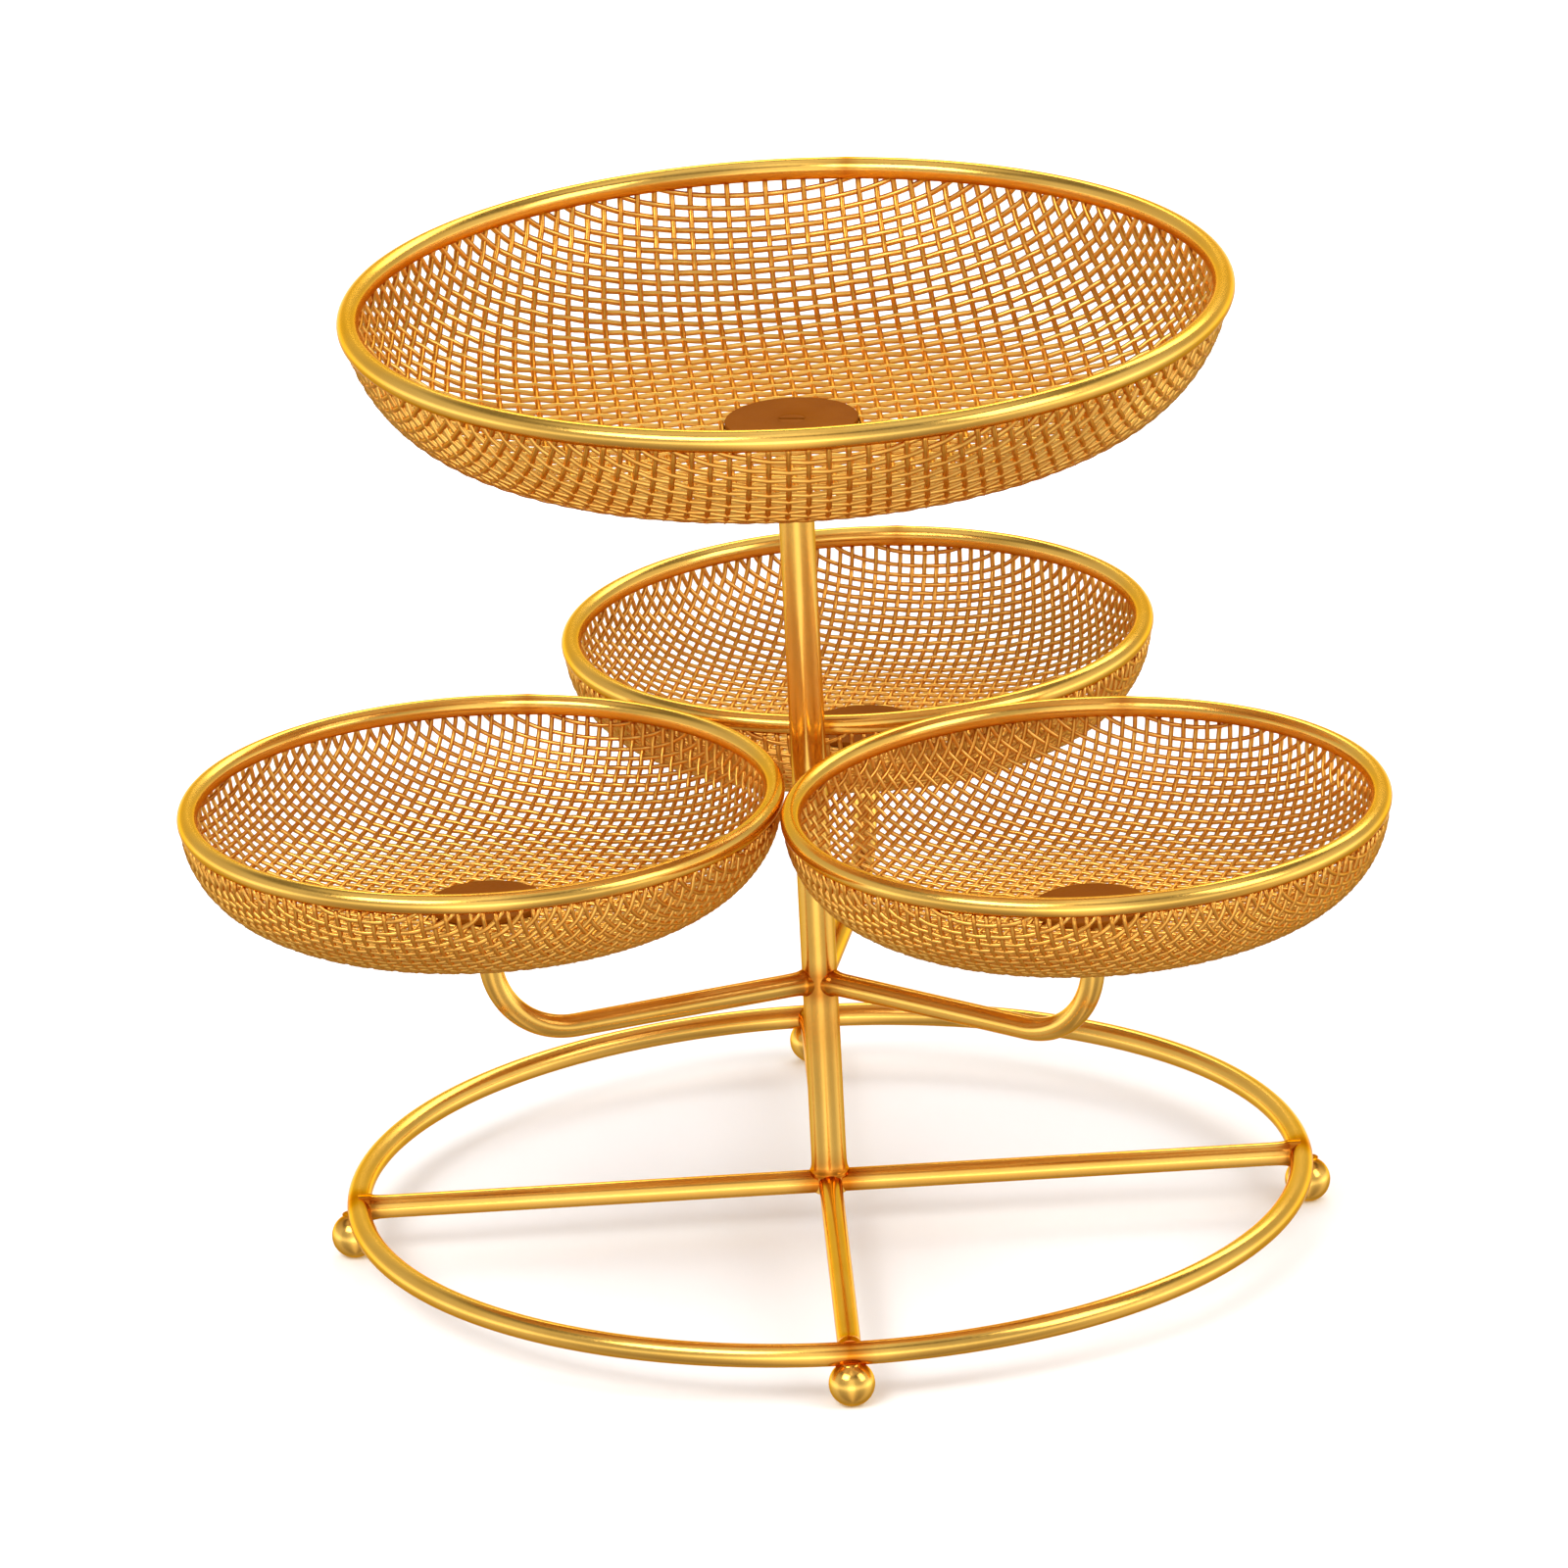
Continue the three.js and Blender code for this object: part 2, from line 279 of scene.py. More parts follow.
def makeWireShadeAndTone():
    # painted shade: one family of wires drawn darker and redder for how it catches the light, with a
    # random tone per wire, from the value painted on the mesh
    group, given, made = newGroup("wireShadeAndTone", [("Strength", 1)], ["Tone"])
    painted = group.nodes.new("ShaderNodeAttribute")
    painted.attribute_name = "wireShadeAndTone"
    strong = mathNode(group, "MULTIPLY", painted.outputs["Fac"], given.outputs["Strength"], clamp=True)
    group.links.new(strong, made.inputs["Tone"])
    return group


mottleGroup, scratchGroup = makeMottle(), makeScratches()
edgeGroup, tintAndShadeGroup, shadeAndToneGroup = makeEdgeWear(), makeTintAndShade(), makeWireShadeAndTone()


def useGroup(tree, group, **values):
    node = tree.nodes.new("ShaderNodeGroup")
    node.node_tree = group
    for title, value in values.items():
        node.inputs[title.replace("_", " ")].default_value = value
    return node


def mixColours(tree, factor, first, second):
    node = tree.nodes.new("ShaderNodeMix")
    node.data_type = "RGBA"
    tree.links.new(factor, node.inputs["Factor"])
    for socket, value in zip((node.inputs[6], node.inputs[7]), (first, second)):
        if isinstance(value, tuple):
            socket.default_value = (*value, 1)
        else:
            tree.links.new(value, socket)
    return node.outputs[2]


def spreadValue(tree, value, low, high):
    # a noise's usual values spread from low to high
    node = tree.nodes.new("ShaderNodeMapRange")
    tree.links.new(value, node.inputs["Value"])
    node.inputs["From Min"].default_value, node.inputs["From Max"].default_value = texture["noiseSpan"]
    node.inputs["To Min"].default_value = low
    node.inputs["To Max"].default_value = high
    return node.outputs[0]


def makePlating(name, look):
    # plated metal: cloudy colour, tinted welds with painted shade at wire crossings and under the rims,
    # painted shade on one family of wires with a random tone per wire, worn edges, fine lines in
    # roughness and bump
    material = bpy.data.materials.new(name)
    material.use_nodes = True
    tree = material.node_tree
    shader = tree.nodes["Principled BSDF"]
    shader.inputs["Metallic"].default_value = look["metal"]
    shader.inputs["Specular IOR Level"].default_value = look["shine"]
    shader.inputs["Specular Tint"].default_value = (*look["edgeTint"], 1)
    mottle = useGroup(tree, mottleGroup, Cloud_Scale=look["cloudScale"], Grain_Scale=look["grainScale"])
    lines = useGroup(tree, scratchGroup, Scale=look["lineScale"], Stretch=look["lineStretch"])
    worn = useGroup(tree, edgeGroup, Reach=look["edgeReach"])
    tintAndShade = useGroup(tree, tintAndShadeGroup, Strength=look["tintAndShadeStrength"])
    shadeAndTone = useGroup(tree, shadeAndToneGroup, Strength=look["shadeAndToneStrength"])
    cloud = spreadValue(tree, mottle.outputs["Cloud"], 0, 1)
    colour = mixColours(tree, cloud, look["colour"], look["colourDeep"])
    # painted shade on one family of wires, with a random tone per wire
    colour = mixColours(tree, shadeAndTone.outputs["Tone"], colour, look["shadeAndToneColour"])
    # weld heat tint, and painted shade at wire crossings and under the rims
    colour = mixColours(tree, tintAndShade.outputs["Tint"], colour, look["tintAndShadeColour"])
    colour = mixColours(tree, worn.outputs["Worn"], colour, look["edgeColour"])
    tree.links.new(colour, shader.inputs["Base Color"])
    smooth = spreadValue(tree, mottle.outputs["Grain"], look["roughLow"], look["roughHigh"])
    rough = mathNode(tree, "MULTIPLY_ADD", lines.outputs["Lines"], look["lineRough"], smooth)
    tree.links.new(rough, shader.inputs["Roughness"])
    bump = tree.nodes.new("ShaderNodeBump")
    bump.inputs["Strength"].default_value = look["bump"]
    bump.inputs["Distance"].default_value = look["bumpDepth"]
    height = mathNode(tree, "MULTIPLY_ADD", lines.outputs["Lines"], look["lineBump"],
                      mottle.outputs["Grain"])
    tree.links.new(height, bump.inputs["Height"])
    tree.links.new(bump.outputs[0], shader.inputs["Normal"])
    return material


goldLook = {
    "colour": (0.92, 0.555, 0.125),
    "colourDeep": (0.88, 0.50, 0.095),
    # weld heat tint; on the rims also the painted shade under the wire
    "tintAndShadeColour": (0.58, 0.18, 0.012),
    "shadeAndToneColour": (0.66, 0.29, 0.04),
    "edgeColour": (0.98, 0.74, 0.32),
    "metal": 1.0,
    "shine": 0.5,
    "edgeTint": (0.86, 0.58, 0.26),  # of the metal seen at a low angle
    "roughLow": 0.15,
    "roughHigh": 0.20,
    "lineRough": 0.05,
    "cloudScale": 45,
    "grainScale": 1400,
    "lineScale": 90,
    "lineStretch": 22,
    "edgeReach": 0.56,
    "tintAndShadeStrength": 1.0,
    "shadeAndToneStrength": 0.0,
    "bump": 0.05,
    "bumpDepth": 0.0001,  # in metres
    "lineBump": 0.5,      # of the polishing lines against the grain
}
meshLook = dict(
    goldLook,
    colour=(0.92, 0.55, 0.135),
    colourDeep=(0.86, 0.46, 0.10),
    # painted shade where a wire dips under another
    tintAndShadeColour=(0.62, 0.22, 0.018),
    edgeTint=(0.93, 0.70, 0.42),
    shadeAndToneStrength=1.0,
    roughLow=0.26,
    roughHigh=0.36,
    cloudScale=70,
    edgeReach=0.9,
    bump=0.08,
)
plateLook = dict(
    goldLook,
    metal=0.0,
    shine=0.01,
    colour=(0.228, 0.063, 0.003),
    colourDeep=(0.192, 0.050, 0.0025),
    edgeColour=(0.60, 0.27, 0.05),
    roughLow=0.40,
    roughHigh=0.50,
    lineRough=0.14,
    cloudScale=60,
    lineScale=160,
    lineStretch=10,
    tintAndShadeStrength=0.0,
    bump=0.25,
)
screwLook = dict(plateLook, colour=(0.235, 0.066, 0.0035), edgeReach=0.75)

polishedGold = makePlating("polishedGoldPlating", goldLook)
wovenGold = makePlating("wovenWireGold", meshLook)
bronzePlate = makePlating("satinBronzePlate", plateLook)
screwBronze = makePlating("screwBronze", screwLook)
print("finishes made")


# base

baseFrame = {
    "ringRadius": 120.0,
    "wire": 6.0,
    "crossTurn": 10.6,
    "fillet": 0.5,       # how far a weld spreads past the wire
    "filletReach": 1.2,  # how fast it dies away
    "tint": 7.0,         # how far a weld's heat tint goes
    "postWeld": 5.0,     # where the post's weld ends, from its middle
    "postTint": 9.0,
    "ringSteps": 240,
    "sides": 28,
    "barStep": 1.5,      # between two rounds of a bar's mesh
    "weldStep": 0.5,     # the same beside a weld
    "weldStretch": 12.0,
}


def weldFlare(distance, start, values):
    # extra radius at a distance along a bar from the piece it is welded to
    past = np.maximum(distance - start, 0)
    return values["fillet"] * np.exp(-past / values["filletReach"])


def weldPaint(distance, start, reach):
    # 1 at the weld's edge, down to 0 where its heat tint ends
    return np.clip(1 - (distance - start) / reach, 0, 1) ** 2


def makeBase(values):
    radius, wire = values["ringRadius"], values["wire"] / 2
    count = values["ringSteps"]
    turn = np.arange(count) * 2 * math.pi / count
    ring = np.stack([radius * np.cos(turn), radius * np.sin(turn), turn * 0], -1)
    ring += (postX, postY, ringLevel)
    points, faces = sweepTube(ring, wire, values["sides"], upward, closed=True)
    piece = addPiece("baseRing", points, faces, polishedGold, "stand", ["base_ring"])
    welds = [math.radians(values["crossTurn"] + 90 * k) for k in range(4)]
    spots = np.array([(postX + radius * math.cos(a), postY + radius * math.sin(a), ringLevel)
                      for a in welds])
    near = np.linalg.norm(points[:, None, :] - spots[None, :, :], axis=2).min(1)
    paintValues(piece.data, "weldTintAndShadeMask", weldPaint(near, wire, values["tint"]))

    # bars of the cross: they reach the middle of the ring's wire and the middle of the post
    stretch = values["weldStretch"]
    atWeld = np.linspace(0, stretch, round(stretch / values["weldStep"]) + 1)
    for name, node, quarter, through in (
        ("crossbarFrontBack", "crossbar_front_back", 1, True),
        ("crossbarRight", "crossbar_right", 0, False),
        ("crossbarLeft", "crossbar_left", 2, False),
    ):
        angle = math.radians(values["crossTurn"] + 90 * quarter)
        out = np.array([math.cos(angle), math.sin(angle), 0])
        start = -radius if through else 0
        rounds = np.linspace(start, radius, round((radius - start) / values["barStep"]) + 1)
        rounds = np.concatenate([rounds, radius - atWeld])
        if through:
            rounds = np.concatenate([rounds, atWeld - radius])
        rounds = np.unique(np.round(rounds, 3))
        path = np.array([postX, postY, ringLevel]) + rounds[:, None] * out
        fromRing = radius - np.abs(rounds)
        radii = wire + weldFlare(fromRing, wire, values)
        points, faces = sweepTube(path, radii, values["sides"], upward)
        piece = addPiece(name, points, faces, polishedGold, "stand", [node])
        paint = np.maximum(weldPaint(fromRing, wire, values["tint"]),
                           weldPaint(np.abs(rounds), values["postWeld"], values["postTint"]))
        paintValues(piece.data, "weldTintAndShadeMask", np.repeat(paint, values["sides"]))


makeBase(baseFrame)

ballFoot = {
    "radius": 5.8,
    "flat": 2.0,       # radius of the flat that stands on the table
    "outset": 1.5,     # the ball sits a little outside the ring
    "neck": 2.4,
    "neckFlare": 0.5,  # wider where the neck meets the ball and the ring
    "neckRise": 0.9,   # from the ball to the narrowest place
    "neckTop": 1.5,    # how far below the middle of the ring's wire the neck's side ends
    "neckTip": 1.2,    # and its middle
    "tint": 2.5,       # how far below the neck the heat tint starts, fading in over its spread
    "tintSpread": 3.0,
    "ballSteps": 32,
    "segments": 48,
}


def makeFeet(values):
    radius, neck, steps = values["radius"], values["neck"], values["ballSteps"]
    centre = math.sqrt(radius ** 2 - values["flat"] ** 2)
    profile = [(0, 0), (values["flat"], 0)]
    low = math.asin(values["flat"] / radius)
    high = math.pi - math.asin((neck + values["neckFlare"]) / radius)
    for k in range(1, steps + 1):
        angle = low + (high - low) * k / steps
        profile.append((radius * math.sin(angle), centre - radius * math.cos(angle)))
    neckLevel = profile[-1][1]
    profile += [(neck + 0.1, neckLevel + 0.35), (neck, neckLevel + values["neckRise"]),
                (neck + values["neckFlare"], ringLevel - values["neckTop"]),
                (0, ringLevel - values["neckTip"])]
    points, faces = turnProfile(profile, values["segments"])
    for k, side in enumerate(("right", "back", "left", "front")):
        angle = math.radians(baseFrame["crossTurn"] + 90 * k)
        reach = baseFrame["ringRadius"] + values["outset"]
        place = (postX + reach * math.cos(angle), postY + reach * math.sin(angle), 0)
        name = "foot" + side.capitalize()
        piece = addPiece(name, points, faces, polishedGold, "stand", ["foot_" + side],
                         place)
        above = points[:, 2] - neckLevel + values["tint"]
        paintValues(piece.data, "weldTintAndShadeMask", np.clip(above / values["tintSpread"], 0, 1))


makeFeet(ballFoot)
print("base made")


# post and arms

post = {
    "diameter": 9.0,
    "wall": 1.0,
    "seatDrop": 2.6,     # how far the tube reaches below the middle of the bars
    "seatNarrow": 0.9,   # narrower where it goes down between the bars
    "fillet": 0.6,
    "filletReach": 1.0,
    "seatWeld": 0.5,     # where the heat tint starts, above the bars, and how far it goes
    "seatTint": 8.0,
    "armWeld": 2.5,      # the same round the arms, and how strong it is there
    "armTint": 5.0,
    "armTintShare": 0.8,
    "topRound": 0.4,
    "weldStretch": 14.0,
    "insertRadius": 3.45,
    "insertEdge": 0.3,
    "tappedRadius": 2.05,
    "tappedEdge": 0.2,
    "segments": 56,
}
arms = {
    "wire": 6.0,
    "bendRadius": 22.0,
    "inPost": 2.9,       # where the wire starts, from the post's middle
    "fillet": 0.5,
    "filletReach": 1.0,
    "tint": 9.0,
    "sides": 28,
    "endRound": 0.5,
    "endSteps": 4,
    "weldStretch": 14.0,
}
armAngles = {"back": 90, "left": 210, "right": 330}
bowlReach = bowlCentres["back_bowl"][1] - postY
armTop = highOf("arm_back")
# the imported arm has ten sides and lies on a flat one
armLevel = lowOf("arm_back") + arms["wire"] / 2 * math.cos(math.pi / 10)


def makePost(values):
    radius, top = values["diameter"] / 2, highOf("post_tube")
    stretch = values["weldStretch"]
    levels = np.unique(np.concatenate([
        np.linspace(ringLevel - values["seatDrop"], ringLevel + stretch, 60),
        np.linspace(armLevel - stretch, armLevel + stretch, 80),
        np.linspace(ringLevel + stretch, top - values["topRound"], 30),
    ]))
    seat = ringLevel + baseFrame["wire"] / 2
    inside = radius - values["wall"]
    profile = [(inside, levels[0])]
    for level in levels:
        flare = values["fillet"] * math.exp(-max(level - seat, 0) / values["filletReach"])
        narrow = values["seatNarrow"] if level < seat - 1 else 0
        profile.append((radius + flare - narrow, level))
    profile += roundedTop(radius, top, values["topRound"])
    profile.append((inside, top))
    points, faces = turnRing(profile, values["segments"])
    piece = addPiece("postTube", points, faces, polishedGold, "stand", ["post_tube"],
                     (postX, postY, 0))
    atBars = weldPaint(np.abs(points[:, 2] - seat), values["seatWeld"], values["seatTint"])
    atArms = weldPaint(np.abs(points[:, 2] - armLevel), values["armWeld"], values["armTint"])
    paintValues(piece.data, "weldTintAndShadeMask", np.maximum(atBars, values["armTintShare"] * atArms))


def makeInsert(values):
    # plug pressed in the top of the tube, with a plain hole for the wide bowl's screw
    low, high = lowOf("post_insert"), highOf("post_insert")
    outer, inner = values["insertRadius"], values["tappedRadius"]
    edge, mouth = values["insertEdge"], values["tappedEdge"]
    profile = [(outer - edge, low), (outer, low + edge), (outer, high - edge), (outer - edge, high),
               (inner + mouth, high), (inner, high - mouth), (inner, low)]
    points, faces = turnRing(profile, values["segments"])
    piece = addPiece("postInsert", points, faces, screwBronze, "stand", ["post_insert"],
                     (postX, postY, 0))
    paintValues(piece.data, "weldTintAndShadeMask", np.zeros(len(points)))


def makeArms(values):
    wire, bend = values["wire"] / 2, values["bendRadius"]
    straight = bowlReach - bend
    stretch, endRound, endSteps = values["weldStretch"], values["endRound"], values["endSteps"]
    line = np.concatenate([np.linspace(values["inPost"], stretch, 40),
                           np.linspace(stretch + 1, straight - 0.5, 30)])
    flat = np.stack([line, line * 0], -1)
    curve = np.array([(straight + bend * math.sin(a), bend - bend * math.cos(a))
                      for a in np.linspace(0, math.pi / 2, 40)])
    rise = armTop - armLevel
    upright = np.array([(bowlReach, z) for z in np.linspace(bend + 0.5, rise - endRound, 10)])
    tip = np.array([(bowlReach, rise - endRound * (1 - k / endSteps)) for k in range(1, endSteps + 1)])
    route = np.concatenate([flat, curve, upright, tip])
    radii = wire + values["fillet"] * np.exp(
        -np.maximum(route[:, 0] - post["diameter"] / 2, 0) / values["filletReach"])
    for k in range(1, endSteps + 1):
        radii[k - endSteps - 1] = wire - endRound * (1 - math.sqrt(1 - (k / endSteps) ** 2))
    paint = weldPaint(route[:, 0], post["diameter"] / 2, values["tint"]) * (route[:, 1] < wire)
    for name, degrees in armAngles.items():
        angle = math.radians(degrees)
        out = np.array([math.cos(angle), math.sin(angle), 0])
        path = np.array([postX, postY, armLevel]) + route[:, :1] * out + route[:, 1:] * upward
        points, faces = sweepTube(path, radii, values["sides"], np.cross(upward, out))
        piece = addPiece("arm" + name.capitalize(), points, faces, polishedGold, "stand",
                         ["arm_" + name])
        paintValues(piece.data, "weldTintAndShadeMask", np.repeat(paint, values["sides"]))


makePost(post)
makeArms(arms)
makeInsert(post)
print("post and arms made")


# bowls

wideBowl = {
    "rimRadius": 109.5,
    "rimWire": 5.6,
    "depth": 33.2,
    "flare": 1.1,        # how far the mesh's edge stands outside the middle of the rim
    "roundness": 6.6,
    "fullness": 1.5,
    "pitches": (4.97, 4.80),  # between the wires of each family
    "shadesAndTones": (0.85, 0.22),    # painted shade: how dark and red the wires of each family are drawn, for how they catch the light
    "meshLevel": 0.45,        # of the wires' middle, above the dish's outline
    "meshWire": 1.55,
    "crimp": 0.22,            # how far a wire swings, in wire radii
    "drawn": 0.313,           # share of the sheet taken up by the wall, at the rim
    "drawnPower": 11.5,       # how close to the rim it is taken up
    "drawnAcross": 1.3,       # how much less on the diagonals of the weave
    "plateRadius": 16.8,
    "thread": 4.0,
}
smallBowl = {
    "rimRadius": 73.6,
    "rimWire": 5.2,
    "depth": 28.3,
    "flare": 1.8,
    "roundness": 4.7,
    "fullness": 2.0,
    "pitches": (3.263, 3.272),
    # painted shade by family of wires, as on the wide bowl
    "shadesAndTones": (0.65, 0.3),
    "meshLevel": 0.45,
    "meshWire": 1.25,
    "crimp": 0.24,
    "drawn": 0.244,
    "drawnPower": 12.1,
    "drawnAcross": 1.2,
    "plateRadius": 14.6,
    "thread": 3.0,
}
weave = {
    "wireSides": 6,
    "stepsPerCross": 3,  # rounds of a wire's mesh from one crossing to the next
    "lineSteps": 1200,   # points of the sheet's outline, and how they crowd towards the rim
    "lineCrowding": 2.2,
    "edgeLevel": -1.0,   # where the sheet ends inside the rim, from the rim's middle
    "traceSteps": 1201,  # points of one wire's path, and halvings to find each of them
    "halvings": 36,
    "fewest": 20,        # points of a path; what is shorter lies under the rim
    "seed": 4,
    "underPlates": 2.5,  # the wires end between the two plates, this far in from their edge
    "toneSpread": 0.12,
    "calmStart": 1.5,    # how far inside the plates' edge the wires start to swing
    "calmReach": 2.5,
    "rimReach": 3.0,     # they swing less from this depth up to the rim, down to the rim's share
    "rimShare": 0.35,
    "crossingShade": 0.4,    # painted shade: darker and redder where a wire dips under another
}
rimWires = {
    "steps": 200,
    "sides": 28,
    "seamBulge": 0.12,   # the rim's own butt weld: how thick, how long, and its heat tint
    "seamReach": 2.2,
    "seamWeld": 1.0,
    "seamTint": 4.0,
    "seamTintShare": 0.6,
    "underShadeStart": 0.3,   # painted shade on the lower half of the rim wire: where it starts, and how fast it deepens
    "underShadeRise": 1.8,
}


def dishLine(values, meshLevel):
    # outline of the pressed sheet from the middle to the rim: distance out, level and normal
    outer = values["rimRadius"] + values["flare"]
    even = np.linspace(0, 1, weave["lineSteps"])
    t = 0.9995 * (1 - (1 - even) ** weave["lineCrowding"])
    out = outer * t
    level = -values["depth"] * (1 - t ** values["roundness"]) ** (1 / values["fullness"])
    keep = level < weave["edgeLevel"]
    out, level = out[keep], level[keep]
    slope = np.gradient(level, out)
    lean = np.stack([-slope, np.ones_like(slope)], -1)
    lean /= np.linalg.norm(lean, axis=1)[:, None]
    out, level = out + lean[:, 0] * meshLevel, level + lean[:, 1] * meshLevel
    return out, level, lean


def traceWire(values, edge, aside):
    # plan path of one wire, and how far along the flat sheet each point of it was:
    # the sheet is drawn in towards the rim as its wall is pressed up
    outer = values["rimRadius"] + values["flare"]

    def onSheet(radius, share):
        drawn = values["drawn"] * (radius / outer) ** values["drawnPower"]
        return radius * share * (1 + drawn * np.abs(share) ** values["drawnAcross"])

    turn = np.arctan(np.linspace(-1.3 * edge, 1.3 * edge, weave["traceSteps"]) / abs(aside))
    low, high = turn * 0, turn * 0 + edge * 1.01
    for _ in range(weave["halvings"]):
        middle = (low + high) / 2
        short = onSheet(middle, np.cos(turn)) < abs(aside)
        low, high = np.where(short, middle, low), np.where(short, high, middle)
    inside = high < edge
    radius, turn = high[inside], turn[inside]
    return radius, turn, onSheet(radius, np.sin(turn))


def weaveDish(name, values):
    wire, sides = values["meshWire"] / 2, weave["wireSides"]
    out, level, lean = dishLine(values, values["meshLevel"])
    edge = out[-1]
    sheetEdge = edge * (1 + values["drawn"])
    hidden = values["plateRadius"] - weave["underPlates"]
    shades = np.random.default_rng(weave["seed"])
    allPoints, allFaces, crossingShades, shadesAndTones = [], [], [], []
    total = 0
    for family in (0, 1):
        pitch, crossPitch = values["pitches"][family], values["pitches"][1 - family]
        reach = int(sheetEdge / pitch)
        for index in range(-reach, reach + 1):
            aside = (index + 0.5) * pitch
            radii, turns, travelled = traceWire(values, edge, aside)
            if len(radii) < weave["fewest"]:
                continue
            spans = [(travelled[0], travelled[-1])]
            if abs(aside) < hidden:
                gap = math.sqrt(hidden ** 2 - aside ** 2)
                spans = [(travelled[0], -gap), (gap, travelled[-1])]
            # painted shade for the wire's family, with a random tone per wire
            shadeAndTone = values["shadesAndTones"][family] + shades.uniform(-weave["toneSpread"], weave["toneSpread"])
            for start, end in spans:
                steps = max(3, round((end - start) / (crossPitch / weave["stepsPerCross"])))
                along = np.linspace(start, end, steps)
                radius = np.interp(along, travelled, radii)
                turn = np.interp(along, travelled, turns)
                across, forward = radius * np.cos(turn) * np.sign(aside), radius * np.sin(turn)
                x, y = (across, forward) if family == 0 else (forward, across)
                bearing = np.arctan2(y, x)
                height = np.interp(radius, out, level)
                leanOut = np.interp(radius, out, lean[:, 0])
                leanUp = np.interp(radius, out, lean[:, 1])
                normal = np.stack([leanOut * np.cos(bearing), leanOut * np.sin(bearing), leanUp], -1)
                path = np.stack([x, y, height], -1)
                # over one wire, under the next: zero half way between two crossings
                wave = np.cos(math.pi * (along / crossPitch - 0.5) + math.pi * index)
                wave = wave if family == 0 else -wave
                calm = np.clip((radius - values["plateRadius"] + weave["calmStart"]) / weave["calmReach"],
                               0, 1)
                calm = calm * np.clip(-height / weave["rimReach"], weave["rimShare"], 1)
                path = path + normal * (wave * calm * wire * values["crimp"])[:, None]
                points, faces = sweepTube(path, wire, sides, normal)
                allPoints.append(points)
                allFaces += [tuple(corner + total for corner in face) for face in faces]
                total += len(points)
                # painted shade in the crossings, carried in the weld tint's attribute
                crossingShades.append(np.repeat(np.clip(-wave, 0, 1) * weave["crossingShade"], sides))
                shadesAndTones.append(np.full(len(points), shadeAndTone))
    mesh = bpy.data.meshes.new(name)
    mesh.from_pydata((np.concatenate(allPoints) * mm).tolist(), [], allFaces)
    mesh.update()
    mesh.materials.append(wovenGold)
    mesh.shade_smooth()
    # on the mesh this attribute holds only the painted crossing shade
    paintValues(mesh, "weldTintAndShadeMask", np.concatenate(crossingShades))
    paintValues(mesh, "wireShadeAndTone", np.concatenate(shadesAndTones))
    print(name, "woven from", len(allPoints), "lengths of wire")
    return mesh


plates = {
    "underShare": 0.86,
    "edge": 0.32,
    "shankGap": 0.1,
    "headGap": 0.12,
    "underMouth": 0.1,   # wider than the hole, where the screw goes into the under plate
    "innerRing": 0.7,    # share of the radius where the flat faces have one more round
    "segments": 96,
}
screws = {
    "headShare": 0.85,   # head radius in thread diameters
    "slotWidth": 0.29,   # in head radii
    "slotDepth": 0.18,   # in head radii
    "tipEdge": 0.3,
    "headEdge": 0.12,
    "segments": 48,
}


def roundedEdge(radius, low, high, edge):
    lower = [(radius - edge + edge * math.sin(a), low + edge - edge * math.cos(a))
             for a in np.linspace(0, math.pi / 2, 5)]
    return lower + [(r, low + high - z) for r, z in reversed(lower)]


def sunkPlate(radius, low, high, hole, mouth, values):
    # flat faces, a rounded rim and a cone that takes the screw's head
    cone = high - (mouth - hole)
    between = radius * values["innerRing"]
    profile = roundedEdge(radius, low, high, values["edge"])
    profile += [(between, high), (mouth + 0.08, high), (mouth, high - 0.06),
                (hole, cone), (hole, low), (between, low)]
    return turnRing(profile, values["segments"])


def sunkScrew(name, radius, top, shankRadius, shankLow, values):
    # a countersunk head turned round the axis, with its slot cut by a thin block
    cone = top - (radius - shankRadius)
    tip = values["tipEdge"]
    profile = [(0, shankLow), (shankRadius - tip, shankLow), (shankRadius, shankLow + tip),
               (shankRadius, cone), (radius, top - values["headEdge"]), (radius - 0.05, top), (0, top)]
    points, faces = turnProfile(profile, values["segments"])
    head = bpy.data.meshes.new(name)
    head.from_pydata((points * mm).tolist(), [], faces)
    wide, deep = radius * values["slotWidth"] / 2, radius * values["slotDepth"]
    corners = [(x * radius * 1.2, y * wide, z) for z in (top - deep, top + 1)
               for x, y in ((-1, -1), (1, -1), (1, 1), (-1, 1))]
    cutter = bpy.data.meshes.new(name + "Cutter")
    cutter.from_pydata((np.array(corners) * mm).tolist(), [], [
        (0, 3, 2, 1), (4, 5, 6, 7), (0, 1, 5, 4), (1, 2, 6, 5), (2, 3, 7, 6), (3, 0, 4, 7)])
    headObject = bpy.data.objects.new(name, head)
    cutterObject = bpy.data.objects.new(name + "Cutter", cutter)
    for item in (headObject, cutterObject):
        bpy.context.scene.collection.objects.link(item)
    cut = headObject.modifiers.new("slot", "BOOLEAN")
    cut.operation, cut.solver, cut.object = "DIFFERENCE", "EXACT", cutterObject
    bpy.context.view_layer.update()
    ready = bpy.data.meshes.new_from_object(
        headObject.evaluated_get(bpy.context.evaluated_depsgraph_get()))
    for item in (headObject, cutterObject):
        bpy.data.objects.remove(item)
    ready.name = name
    ready.shade_smooth()
    ready.set_sharp_from_angle(angle=math.radians(35))
    ready.materials.clear()
    ready.materials.append(screwBronze)
    return ready


